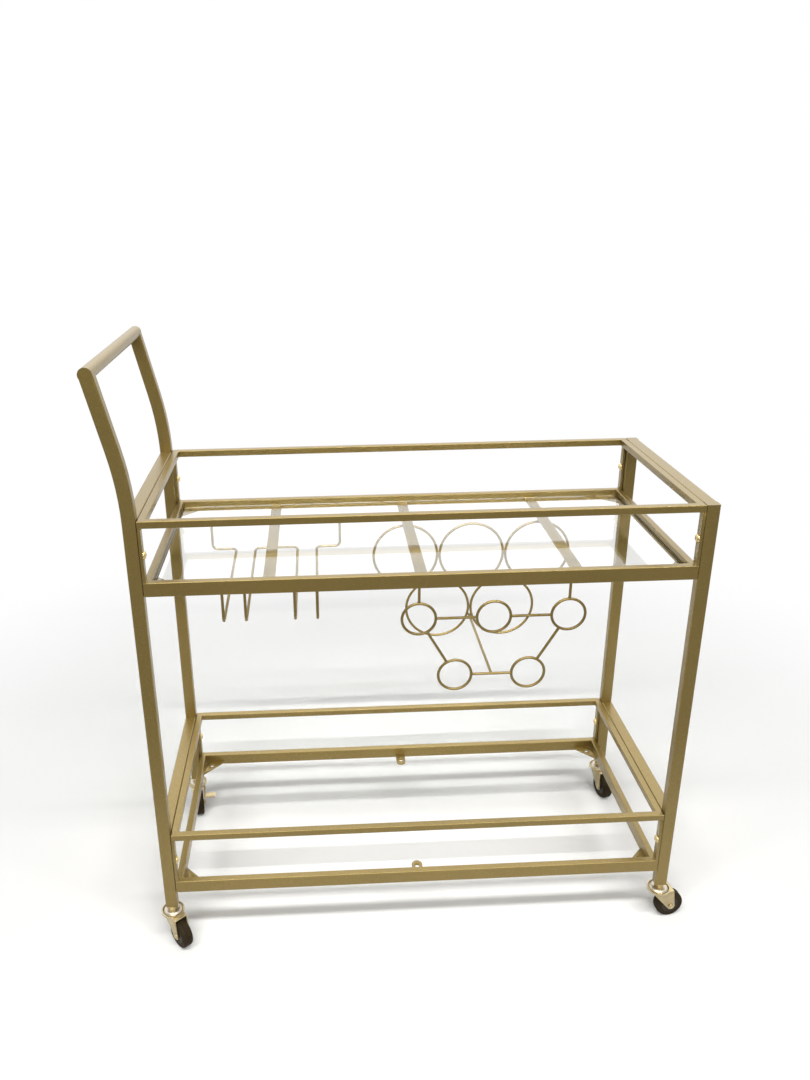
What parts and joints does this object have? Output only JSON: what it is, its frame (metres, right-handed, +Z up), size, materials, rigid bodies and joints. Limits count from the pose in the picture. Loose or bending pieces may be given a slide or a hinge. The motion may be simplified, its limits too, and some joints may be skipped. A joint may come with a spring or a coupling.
{
  "type": "bar cart",
  "caption": "Gold metal bar cart on swivel casters with a glass top tray, an open bottom tray, a raised end handle, a hanging stemware rack and a hanging bottle rack.",
  "frame": {"origin": "on the floor, midway between the axes of the four caster stems", "axes": "+Z up, X along the cart with the handle at -X, front at -Y"},
  "size_m": [0.826, 0.3527, 0.88],
  "materials": {
    "gold_powder_coat": "satin metallic powder coat",
    "clear_glass": "clear, polished",
    "screw_brass": "polished",
    "nut_brass": "satin",
    "caster_zinc": "zinc plated",
    "tyre_rubber": "matte",
    "hub_plastic": "matte",
    "plug_plastic": "matte"
  },
  "bodies": {
    "frame": {"bottle_rack_bars_and_hangers": "gold_powder_coat", "bottle_rack_body_rings": "gold_powder_coat", "bottle_rack_end_strip": "gold_powder_coat", "bottle_rack_middle_strip": "gold_powder_coat", "bottle_rack_neck_rings": "gold_powder_coat", "bottle_rack_spine": "gold_powder_coat", "bottom_tray_corner_plates": "gold_powder_coat", "bottom_tray_end_lower_rails": "gold_powder_coat", "bottom_tray_end_upper_rails": "gold_powder_coat", "bottom_tray_gussets": "gold_powder_coat", "bottom_tray_long_lower_rails": "gold_powder_coat", "bottom_tray_long_upper_rails": "gold_powder_coat", "bottom_tray_tabs": "gold_powder_coat", "caster_balls": "caster_zinc", "caster_cups": "caster_zinc", "caster_stem_nuts": "nut_brass", "caster_stems": "caster_zinc", "glass_panel": "clear_glass", "handle_bar": "gold_powder_coat", "handle_end_bottom_crossbar": "gold_powder_coat", "handle_end_leg_front": "gold_powder_coat", "handle_end_leg_rear": "gold_powder_coat", "handle_end_top_crossbar": "gold_powder_coat", "leg_plugs": "plug_plastic", "plain_end_bottom_crossbar": "gold_powder_coat", "plain_end_leg_front": "gold_powder_coat", "plain_end_leg_rear": "gold_powder_coat", "plain_end_top_crossbar": "gold_powder_coat", "rivet_nuts": "caster_zinc", "stem_rack_cross_wires": "gold_powder_coat", "stem_rack_inner_wire": "gold_powder_coat", "stem_rack_outer_wire": "gold_powder_coat", "stem_rack_strip": "gold_powder_coat", "top_tray_corner_plates": "gold_powder_coat", "top_tray_end_lower_rails": "gold_powder_coat", "top_tray_end_upper_rails": "gold_powder_coat", "top_tray_gussets": "gold_powder_coat", "top_tray_long_lower_rails": "gold_powder_coat", "top_tray_long_upper_rails": "gold_powder_coat", "tray_screws": "screw_brass"},
    "front_left_swivel": {"front_left_fork": "caster_zinc", "front_left_axle": "caster_zinc"},
    "front_left_wheel": {"front_left_tyre": "tyre_rubber", "front_left_hub": "hub_plastic"},
    "front_right_swivel": {"front_right_fork": "caster_zinc", "front_right_axle": "caster_zinc"},
    "front_right_wheel": {"front_right_tyre": "tyre_rubber", "front_right_hub": "hub_plastic"},
    "rear_left_swivel": {"rear_left_fork": "caster_zinc", "rear_left_axle": "caster_zinc", "rear_left_pedal_pin": "caster_zinc"},
    "rear_left_wheel": {"rear_left_tyre": "tyre_rubber", "rear_left_hub": "hub_plastic"},
    "rear_left_brake": {"rear_left_brake_pedal": "caster_zinc"},
    "rear_right_swivel": {"rear_right_fork": "caster_zinc", "rear_right_axle": "caster_zinc"},
    "rear_right_wheel": {"rear_right_tyre": "tyre_rubber", "rear_right_hub": "hub_plastic"}
  },
  "joints": [
    {"name": "front_left_swivel_turn", "type": "hinge", "parent": "frame", "child": "front_left_swivel", "pos_m": [-0.3725, -0.1505, 0.05], "axis": [0, 0, 1], "continuous": true},
    {"name": "front_left_wheel_spin", "type": "hinge", "parent": "front_left_swivel", "child": "front_left_wheel", "pos_m": [-0.36029, -0.16506, 0.0215], "axis": [0.766, 0.6428, 0], "continuous": true},
    {"name": "front_right_swivel_turn", "type": "hinge", "parent": "frame", "child": "front_right_swivel", "pos_m": [0.3725, -0.1505, 0.05], "axis": [0, 0, 1], "continuous": true},
    {"name": "front_right_wheel_spin", "type": "hinge", "parent": "front_right_swivel", "child": "front_right_wheel", "pos_m": [0.39132, -0.14786, 0.0215], "axis": [-0.1392, 0.9903, 0], "continuous": true},
    {"name": "rear_left_swivel_turn", "type": "hinge", "parent": "frame", "child": "rear_left_swivel", "pos_m": [-0.3725, 0.1505, 0.05], "axis": [0, 0, 1], "continuous": true},
    {"name": "rear_left_wheel_spin", "type": "hinge", "parent": "rear_left_swivel", "child": "rear_left_wheel", "pos_m": [-0.3692, 0.13179, 0.0215], "axis": [0.9848, 0.1736, 0], "continuous": true},
    {"name": "rear_left_brake_tip", "type": "hinge", "parent": "rear_left_swivel", "child": "rear_left_brake", "pos_m": [-0.37094, 0.14164, 0.0435], "axis": [0.9848, 0.1736, 0], "range_deg": [0, 15]},
    {"name": "rear_right_swivel_turn", "type": "hinge", "parent": "frame", "child": "rear_right_swivel", "pos_m": [0.3725, 0.1505, 0.05], "axis": [0, 0, 1], "continuous": true},
    {"name": "rear_right_wheel_spin", "type": "hinge", "parent": "rear_right_swivel", "child": "rear_right_wheel", "pos_m": [0.3771, 0.13206, 0.0215], "axis": [0.9703, 0.2419, 0], "continuous": true}
  ]
}
